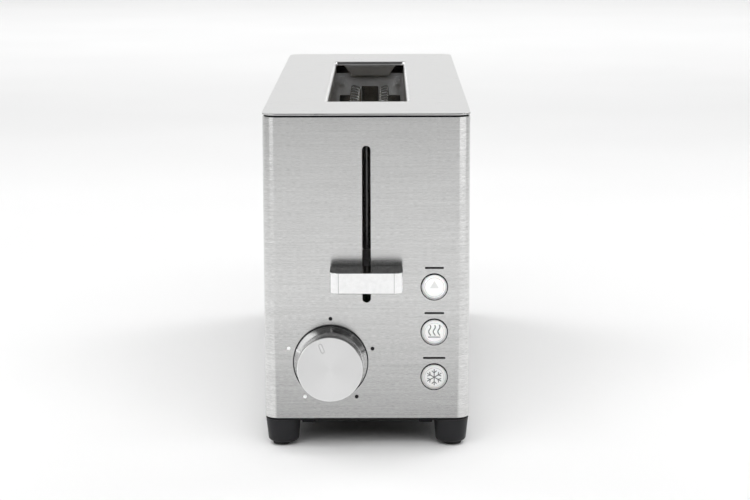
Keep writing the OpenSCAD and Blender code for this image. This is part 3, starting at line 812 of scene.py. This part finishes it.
# ---------- controls on the front panel
def lever_handle():
    """Bar with round front corners, a dark sole and a fine line where each corner starts."""
    low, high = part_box("lever_handle")
    r, rear_r = 5 * MM, 1 * MM
    outline = (
        arc(low.x + r, low.y + r, r, 180, 270, 14)
        + arc(high.x - r, low.y + r, r, 270, 360, 14)
        + arc(high.x - rear_r, high.y - rear_r, rear_r, 0, 90, 4)
        + arc(low.x + rear_r, high.y - rear_r, rear_r, 90, 180, 4)
    )
    bar = prism("handle", outline, "z", low.z, high.z)
    bm = bmesh.new()
    bm.from_mesh(bar.data)
    rear_corners = high.y - 1.1 * MM  # the edges behind this line stay sharp
    rim = [e for e in bm.edges if e.verts[0].co.z == e.verts[1].co.z
           and max(v.co.y for v in e.verts) < rear_corners]
    bmesh.ops.bevel(bm, geom=rim, offset=0.3 * MM, segments=3, profile=0.5, affect="EDGES")
    bm.to_mesh(bar.data)
    bm.free()
    smooth(bar, 12)
    finish_piece(bar, "lever_grip", "carriage", POLISHED, "polished_steel", "lever_handle")
    cx, cy, share = middle("lever_handle").x, (low.y + high.y) / 2, 0.94
    inset = [((x - cx) * share + cx, (y - cy) * share + cy) for x, y in outline]
    finish_piece(prism("sole", inset, "z", low.z - 0.25 * MM, low.z + 0.5 * MM), "lever_grip_sole",
                 "carriage", BLACK, "black_plastic")
    half_w, proud, depth, margin = 0.13 * MM, 0.015 * MM, 0.4 * MM, 0.3 * MM
    lines = [block("line", (x - half_w, low.y - proud, low.z + margin),
                   (x + half_w, low.y + depth, high.z - margin)) for x in (low.x + r, high.x - r)]
    finish_piece(join("lines", lines), "lever_grip_lines", "carriage", RING_METAL, "polished_steel")


def index_outline(grow):
    """The slanting index mark on the knob's face, in X and Z; grow is in millimetres."""
    turn = math.radians(111)
    start, end, half_w, r = 10.6, 15.8, 0.8, 0.75
    slot = rounded((start - grow) * MM, (end + grow) * MM, (-half_w - grow) * MM, (half_w + grow) * MM,
                   (r + grow) * MM, 6)
    return [(KNOB_X + u * math.cos(turn) - v * math.sin(turn),
             KNOB_Z + u * math.sin(turn) + v * math.cos(turn)) for u, v in slot]


def index_cutter(depth):
    """A cutter for the mark in the knob's face."""
    return prism("mark", index_outline(0), "y", KNOB_LO.y - MM, KNOB_LO.y + depth)


def turned(name, profile, y, closed=False):
    """A profile in millimetres turned about the knob's axis; its heights start at y."""
    return revolve(name, mm(profile), (KNOB_X, y, KNOB_Z), OUTWARDS, 160, closed)


def knob():
    """Turned knob: a hollow flared skirt, a fine groove, a straight grip and a cut index mark.
    The open rings of its bore are closed flat."""
    front, back = KNOB_LO.y, KNOB_HI.y
    r = (KNOB_HI.x - KNOB_LO.x) / 2 / MM
    h = (back - front) / MM
    grip = r - 2.9
    hollow, hollow_h = grip - 2, 7.0
    bore, boss, bore_h = 3.02, 6.2, h - 4
    skirt_h, skirt_start, steps = 6.4, 0.45, 12
    groove, groove_w = 0.45, 0.5
    profile = [(bore, 0), (boss - 0.2, 0), (boss, 0.2), (boss, hollow_h), (hollow, hollow_h),
               (hollow, 0.3), (hollow + 0.3, 0), (r - 0.4, 0), (r - 0.12, 0.12), (r, skirt_start)]
    for k in range(1, steps + 1):
        t = k / steps
        profile.append((r - (r - grip - 0.1) * t ** 0.8,
                        skirt_start + (skirt_h - groove_w - skirt_start) * t))
    profile += [(grip - groove, skirt_h - groove_w), (grip - groove, skirt_h), (grip - 0.02, skirt_h),
                (grip, skirt_h + 0.1), (grip, h - 0.3), (grip - 0.09, h - 0.09), (grip - 0.3, h),
                (0, h), (0, bore_h), (bore, bore_h)]
    body = turned("knob", profile, back)
    bm = bmesh.new()
    bm.from_mesh(body.data)
    bmesh.ops.holes_fill(bm, edges=bm.edges, sides=0)
    bmesh.ops.recalc_face_normals(bm, faces=bm.faces)
    bm.to_mesh(body.data)
    bm.free()
    cut(body, index_cutter(0.3 * MM))
    finish_piece(smooth(body, 20), "knob_turning", "browning_knob", KNOB_METAL, "spun_aluminium", "knob")

    rim = grip - 0.32
    face = turned("disc", [(0, -0.2), (rim, -0.2), (rim, 0), (rim - 0.04, 0.04), (0, 0.04)], front)
    cut(face, index_cutter(MM))
    finish_piece(smooth(face, 20), "knob_face_disc", "browning_knob", SPUN, "spun_aluminium")
    floor = prism("fill", index_outline(0), "y", front + 0.1 * MM, front + 0.3 * MM)
    finish_piece(floor, "knob_index_floor", "browning_knob", SPUN, "spun_aluminium")
    border = prism("border", index_outline(0.3), "y", front - 0.06 * MM, front + 0.25 * MM)
    cut(border, index_cutter(MM))
    finish_piece(border, "knob_index_rim", "browning_knob", RING_METAL, "spun_aluminium")

    # Painted shadow: a black ring, a little wider than the skirt at its back, stands in for the shadow
    # gap between knob and panel.
    inside, outside = r - 2.4, r + 0.22
    edge = turned("core", [(inside, -0.05), (r - 0.05, -0.05), (outside, 0.1), (outside, 0.75),
                           (r - 0.5, 0.95), (inside, 0.95)], back, closed=True)
    finish_piece(smooth(edge, 40), "knob_painted_shadow_ring", "browning_knob", BLACK, "black_plastic")


def button(name):
    """A milky cap with a flat centre, a fine crease drawn in grey as painted shade, and a sloping rim,
    on its own body.
    """
    node = name + "_button"
    low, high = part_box(node)
    c = (low + high) / 2
    r, stem_r, flange_r = 6.75 * MM, 2 * MM, 7.9 * MM
    top, stem = FRONT - low.y, FRONT - high.y
    back = -6.2 * MM
    face = [(6.75, 1.15), (6.72, 0.95), (6.6, 0.75), (6, 0.12), (5.9, 0.03), (5.8, 0), (3, 0), (0, 0)]
    profile = [(0, stem), (stem_r, stem), (stem_r, back - MM), (flange_r, back - MM), (flange_r, back),
               (r, back)] + [(a * MM, top - drop * MM) for a, drop in face]
    cap = revolve("cap", profile, (c.x, FRONT, c.z), OUTWARDS)
    finish_piece(smooth(cap, 40), name + "_cap", name + "_key", MILKY, "milky_cap", node)
    # painted shade: a grey ring along the cap's fine crease
    inner, outer, depth, proud = 5.44 * MM, 5.68 * MM, 0.1 * MM, 0.01 * MM
    crease = [(inner, top - depth), (outer, top - depth), (outer, top + proud), (inner, top + proud)]
    ring = revolve("crease", crease, (c.x, FRONT, c.z), OUTWARDS, closed=True)
    finish_piece(smooth(ring, 40), name + "_crease", name + "_key", CREASE_SHADE, "milky_cap")


def button_rings():
    """Bright bezels, each in a thin dark ring."""
    bezel = [(7.05, -6), (7.3, -6), (7.3, 0), (7.42, 0.05), (7.42, 0.6), (7.36, 0.74), (7.28, 0.8),
             (7.14, 0.8), (7.08, 0.76), (7.05, 0.65)]
    dark_ring = [(7.4, -0.05), (8.0, -0.05), (8.0, 0.3), (7.92, 0.38), (7.4, 0.38)]
    for name, profile, material, slot, replaced in (
            ("button_ring_set", bezel, KNOB_METAL, "polished_steel", ["button_rings"]),
            ("button_dark_rings", dark_ring, MATT_BLACK, "black_plastic", [])):
        parts = []
        for key in BUTTONS:
            c = middle(key + "_button")
            ring = revolve("ring", mm(profile), (c.x, FRONT, c.z), OUTWARDS, 72, closed=True)
            parts.append(smooth(ring, 50))
        finish_piece(join("rings", parts), name, "housing", material, slot, *replaced)


def stroke(path, width):
    """Outline of a line of even width drawn along a path in X and Z."""
    pts = [Vector((x, z)) for x, z in path]
    left, right = [], []
    for i, p in enumerate(pts):
        ahead = (pts[min(i + 1, len(pts) - 1)] - pts[max(i - 1, 0)]).normalized()
        side = Vector((-ahead.y, ahead.x)) * width / 2
        left.append(tuple(p + side))
        right.append(tuple(p - side))
    return left + right[::-1]


def symbol(name, strokes, ink):
    """Printed strokes just proud of a cap, each a path and a width in millimetres."""
    c = middle(name + "_button")
    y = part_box(name + "_button")[0].y
    parts = []
    for path, width in strokes:
        moved = [(c.x + u * MM, c.z + v * MM) for u, v in path]
        parts.append(prism("stroke", stroke(moved, width * MM), "y", y - 0.04 * MM, y + 0.20 * MM))
    finish_piece(join("strokes", parts), name + "_symbol", name + "_key", ink, "black_plastic")


def symbols():
    """Heat waves over a line, a snowflake, and a triangle hatched with level strokes."""
    waves = []
    spacing, swing, top, h, steps = 2.67, 0.6, 4.3, 6.2, 20
    for cx in (-spacing, 0, spacing):
        path = [(cx + swing * math.cos(2.22 * math.pi * (t / steps - 0.17)), top - h * t / steps)
                for t in range(steps + 1)]
        waves.append((path, 0.66))
    waves.append(([(-3.6, -2.75), (3.6, -2.75)], 0.6))
    symbol("reheat", waves, GREY_INK)

    flake = []
    arm, fork, twig, spread = 4.8, 2.6, 1.9, 48
    for k in range(6):
        a = math.radians(60 * k + 30)
        d = (math.cos(a), math.sin(a))
        flake.append(([(0, 0), (arm * d[0], arm * d[1])], 0.55))
        for turn in (-spread, spread):
            b = math.radians(60 * k + 30 + turn)
            start = (fork * d[0], fork * d[1])
            tip = (start[0] + twig * math.cos(b), start[1] + twig * math.sin(b))
            flake.append(([start, tip], 0.5))
    symbol("defrost", flake, GREY_INK)

    half_w, peak, h, rows = 2.6, 3.9, 4.4, 8
    hatch = []
    for k in range(rows):
        t = (k + 0.5) / rows
        hatch.append(([(-half_w * t, peak - h * t), (half_w * t, peak - h * t)], 0.56))
    symbol("cancel", hatch, PALE_INK)


def label_bars():
    """Plain printed bars above the buttons, in place of words."""
    parts = []
    rise, half_h, r = 11.2 * MM, 0.6 * MM, 0.5 * MM
    for name, width in (("cancel", 11.0), ("reheat", 11.5), ("defrost", 13.0)):
        c = middle(name + "_button")
        z = c.z + rise
        half_w = width / 2 * MM
        outline = rounded(c.x - half_w, c.x + half_w, z - half_h, z + half_h, r, 6)
        parts.append(prism("bar", outline, "y", FRONT - 0.03 * MM, FRONT + 0.3 * MM))
    finish_piece(join("bars", parts), "button_label_bars", "housing", INK, "black_plastic")


def dial_marks():
    """Domed pins round the knob: two lit ones and three dark ones."""
    r, depth = 1.05 * MM, 5 * MM
    profile = [(0, -depth), (r, -depth), (r, 0), (r * 0.8, 0.12 * MM), (r * 0.4, 0.17 * MM),
               (0, 0.18 * MM)]
    groups = {"lit_markers": [], "dark_markers": []}
    for angle in MARK_ANGLES:
        x, z = mark_place(angle)
        dot = smooth(revolve("dot", profile, (x, FRONT, z), OUTWARDS, 24), 50)
        groups["lit_markers" if angle in LIT_ANGLES else "dark_markers"].append(dot)
    finish_piece(join("lit", groups["lit_markers"]), "lit_mark_set", "housing", LIT, "milky_cap",
                 "lit_markers")
    finish_piece(join("dark", groups["dark_markers"]), "dark_mark_set", "housing", INK,
                 "black_plastic", "dark_markers")


# ---------- inside the slot
def bent(points, radius, steps=5):
    """A path with its inner corners rounded."""
    out = [Vector(points[0])]
    for before, corner, after in zip(points, points[1:], points[2:]):
        corner = Vector(corner)
        a = corner + (Vector(before) - corner).normalized() * radius
        b = corner + (Vector(after) - corner).normalized() * radius
        for i in range(steps + 1):
            t = i / steps
            out.append(a * (1 - t) ** 2 + corner * 2 * t * (1 - t) + b * t * t)
    out.append(Vector(points[-1]))
    return out


def bread_guides():
    """A pivot bar with a row of hooked wires that end on a stiffener, on each side of the bread."""
    wires, pitch = 16, 17 * MM
    wire_r, pivot_r, stiff_r, bend_r = 0.62 * MM, 1.5 * MM, 0.95 * MM, 1.6 * MM
    length = pitch * (wires - 1)
    y0 = SLOT_Y - length / 2
    inner, hook_w, hook_drop, hook_z = 7 * MM, 5.8 * MM, 1.8 * MM, 150 * MM
    for side, sign in (("left", -1), ("right", 1)):
        node = side + "_bread_guide"
        low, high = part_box(node)
        pivot_z = low.z + pivot_r
        top = high.z - 0.9 * MM
        x, out = sign * inner, sign * (inner + hook_w)
        parts = []
        for i in range(wires):
            y = y0 + i * pitch
            path = [(x, y, pivot_z), (x, y, top - hook_drop), (out, y, top), (out, y, hook_z)]
            parts.append(tube("wire", bent(path, bend_r), wire_r, 12))
        parts.append(tube("pivot", [(x, low.y, pivot_z), (x, high.y, pivot_z)], pivot_r, 16))
        ends = [(out, y0 - 4 * MM, hook_z), (out, y0 + length + 4 * MM, hook_z)]
        parts.append(tube("stiffener", ends, stiff_r, 12))
        rack = smooth(join(node, parts), 50)
        finish_piece(rack, side + "_guide_wires", side + "_guide", WIRE, "bright_wire", node)


def lift_spring():
    """Helix with a straight tail at each end, built at the length of its CAD box; the real spring closes
    up as the carriage rises.
    """
    low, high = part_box("lift_spring")
    c = (low + high) / 2
    r, wire_r, turns, steps = 3.6 * MM, 0.45 * MM, 40, 14
    end_l, end_gap, bend = 5 * MM, 0.5 * MM, 1.5 * MM
    z0, z1 = low.z + end_l, high.z - end_l
    path = [(c.x, c.y, low.z + end_gap), (c.x, c.y, z0 - bend)]
    for i in range(turns * steps + 1):
        a = 2 * math.pi * i / steps
        t = i / (turns * steps)
        path.append((c.x + r * math.cos(a), c.y + r * math.sin(a), z0 + (z1 - z0) * t))
    path += [(c.x, c.y, z1 + bend), (c.x, c.y, high.z - end_gap)]
    spring = smooth(tube("spring", path, wire_r, 8), 60)
    finish_piece(spring, "spring_coil", "housing", WIRE, "bright_wire", "lift_spring")
    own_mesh(spring)


# ---------- rear and tray
def tray_grip():
    """Plate that closes the tray's opening, with a finger bar across it."""
    low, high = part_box("tray_grip")
    y0 = low.y
    plate_t, bar_half_w = 2 * MM, 16 * MM
    plate = prism("plate", rounded(low.x, high.x, low.z, high.z, 2 * MM), "y", y0, y0 + plate_t)
    soften(plate, 0.5 * MM, 3, 50)
    mid = (low.z + high.z) / 2
    outline = [(y0 + 1.5 * MM, mid - 3 * MM), (high.y - 1.6 * MM, mid - 1.2 * MM)]
    outline += arc(high.y - 1.3 * MM, mid + 0.2 * MM, 1.3 * MM, -80, 80, 8)
    outline += [(high.y - 1.6 * MM, mid + 1.6 * MM), (y0 + 1.5 * MM, mid + 2 * MM)]
    bar = soften(prism("bar", outline, "x", -bar_half_w, bar_half_w), 0.4 * MM, 3, 50)
    finish_piece(join("grip", [plate, bar]), "tray_handle", "crumb_drawer", BLACK, "black_plastic",
                 "tray_grip")


def crumb_tray():
    """Shallow pan, open towards its grip."""
    low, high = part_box("crumb_tray")
    t = 0.8 * MM
    outline = rounded(low.x, high.x, low.y, high.y, 2 * MM, 6)
    tray = prism("tray", outline, "z", low.z, high.z)
    hollow = rounded(low.x + t, high.x - t, low.y + t, high.y + MM, 1.2 * MM, 6)
    cut(tray, prism("hollow", hollow, "z", low.z + t, high.z + MM))
    soften(tray, 0.2 * MM, 2)
    finish_piece(tray, "crumb_pan", "crumb_drawer", GALVANISED, "galvanised_steel", "crumb_tray")


def cord_gland():
    """Rubber grommet with a flange outside the rear panel and a bead inside it."""
    c = middle("cord_gland")
    bore = 3.6
    profile = [(bore, -9), (bore, 2.4), (bore + 0.2, 2.8), (bore + 0.6, 3), (7.6, 3), (8.2, 2.7),
               (8.5, 2.1), (8.5, 0), (6, 0), (6, -1), (7.2, -1), (6, -9)]
    gland = revolve("gland", mm(profile), (c.x, REAR, c.z), (0, 1, 0), 56, closed=True)
    finish_piece(smooth(gland, 45), "cord_grommet", "housing", RUBBER, "rubber", "cord_gland")


# ---------- CAD nodes that show as they are
def dress_cad():
    """Give each of them its finish."""
    finishes = {
        BLACK: ["top_frame", "mains_switch", "board_posts", "tact_switches", "browning_control"],
        GALVANISED: ["base_screws", "tray_rails", "front_end_plate", "rear_end_plate",
                     "left_heat_shield", "right_heat_shield", "carriage_bracket", "lever_stem",
                     "latch_armature", "magnet_core", "magnet_shelf", "rod_bracket", "board_screws"],
        RACK: ["bread_rack", "guide_rod"],
        MICA: ["left_heater_board", "right_heater_board"],
        NICHROME: ["left_heater_ribbon", "right_heater_ribbon"],
        WHITE: ["carriage_bush", "terminal_block", "mains_wires"],
        BRASS: ["knob_shaft"],
        COPPER: ["magnet_coil"],
        LACQUER: ["control_board"],
    }
    for material, names in finishes.items():
        for name in names:
            paint(nodes[name], material)


# ---------- stage, light and camera
WORLD = (0.07, 0.07, 0.07, 1)


def stage_floor():
    """Wide sheet of pale paper under and behind the toaster."""
    corners = [(-7, -7, 0), (7, -7, 0), (7, 9, 0), (-7, 9, 0)]
    floor = from_faces("studio_floor", corners, [(0, 1, 2, 3)])
    s = Shader("studio_paper", (0.86,) * 3, 0.9, Specular_IOR_Level=0)
    s.tint(s.noise((3, 3, 3), detail=1), 0.99, 1.01)
    floor.data.materials.append(s.material)


def area_light(name, place, target, size, power, spread=180):
    """A rectangular light that faces target; spread is in degrees."""
    lamp = bpy.data.lights.new(name, "AREA")
    lamp.shape = "RECTANGLE"
    lamp.size, lamp.size_y = size
    lamp.energy = power
    lamp.spread = math.radians(spread)
    obj = link(bpy.data.objects.new(name, lamp))
    obj.location = place
    obj.rotation_euler = (Vector(target) - Vector(place)).to_track_quat("-Z", "Y").to_euler()
    return obj


def light_pair(name, place, target, size, powers, spread=180):
    """A light on each side, with their powers; place and target are the right one's."""
    return [area_light(side + name, (sign * place[0], *place[1:]), (sign * target[0], *target[1:]),
                       size, power, spread)
            for side, sign, power in zip(("left_", "right_"), (-1, 1), powers)]


def studio():
    """Soft light: the hidden lights are never mirrored, and the cards are only mirrored."""
    world = bpy.data.worlds.new("studio")
    bpy.context.scene.world = world
    world.use_nodes = True
    world.node_tree.nodes["Background"].inputs["Color"].default_value = WORLD
    stage_floor()
    hidden = [
        area_light("overhead", (0, 0, 4), (0, 0, 0), (13, 13), 135),
        area_light("front_fill", (0, -2, 1.7), (0, 0, 0), (4.2, 1.8), 40),
        area_light("front_spot", (0, -1.9, 1.8), (0, -1, 0), (1.8, 1.2), 1.6, 65),
        *light_pair("fill", (1.9, -0.8, 0.9), (0.5, -0.6, 0), (2.4, 1.2), (2.6, 3)),
        *light_pair("pool", (1.2, 0.1, 1.3), (0.2, -0.1, 0), (1.2, 1.2), (0.45, 0.45), 90),
        *light_pair("near", (0.5, -0.25, 1.1), (0.1, -0.15, 0), (0.4, 0.4), (0.065, 0.065), 25),
        *light_pair("far", (0.8, -0.3, 1), (0.8, -0.3, 0), (0.4, 0.4), (0.15, 0.15), 50),
        *light_pair("back", (1.2, 0.9, 1.5), (0, 0.1, 0), (1, 1), (2.5, 2.5), 90),
        area_light("rear_fill", (0, 3.1, 3), (0, 3.1, 0), (6, 3.6), 80, 120),
        area_light("slot_light", (0, -0.5, 1.2), (0, 0.1, 0.12), (0.03, 0.1), 0.055, 5),
    ]
    for light in hidden:
        light.visible_glossy = False
    area_light("right_strip", (1.15, -0.65, 0.16), (0, 0, 0.1), (1.3, 0.3), 0.85)
    cards = [
        area_light("rear_ceiling", (0, 1.4, 1.7), (0, 0.1, 0.1), (0.5, 1), 1.3),
        *light_pair("kicker", (1.1, 1.1, 1.55), (0, 0, 0.17), (0.35, 0.9), (1.2, 1.2), 60),
        area_light("left_box", (-1.25, -1.15, 0.72), (0, 0, 0.1), (1, 1.4), 6),
        area_light("front_card", (0, -2.8, 1.8), (0, 0, 1.8), (5, 1.6), 10),
        *light_pair("card", (2.9, 1, 1.5), (0, 1, 1.5), (4, 2), (10, 10)),
        area_light("rear_card", (0, 2.8, 1.1), (0, 0, 1.1), (4, 2.2), 30),
    ]
    for card in cards:
        card.visible_camera = False
        card.visible_diffuse = False


def camera():
    """A 105 mm view from the front, ten degrees down and a hair to the right of centre."""
    lens = bpy.data.cameras.new("camera")
    lens.lens = 105
    lens.sensor_width = 36
    lens.clip_start = 0.05
    obj = link(bpy.data.objects.new("camera", lens))
    eye = (0.0108, -1.4383, 0.3372)
    yaw, pitch, roll = math.radians(-0.27), math.radians(9.997), math.radians(-0.143)
    obj.matrix_world = (
        Matrix.Translation(eye)
        @ Matrix.Rotation(-yaw, 4, "Z")
        @ Matrix.Rotation(math.pi / 2 - pitch, 4, "X")
        @ Matrix.Rotation(roll, 4, "Z")
    )
    bpy.context.scene.camera = obj


camera()
studio()
bpy.context.scene.view_settings.view_transform = "Standard"
front_cover()
rear_cover()
side_panels()
top_plate()
base_moulding()
legs()
foot_pads()
lever_handle()
knob()
for key in BUTTONS:
    button(key)
button_rings()
symbols()
label_bars()
dial_marks()
bread_guides()
lift_spring()
tray_grip()
crumb_tray()
cord_gland()
dress_cad()
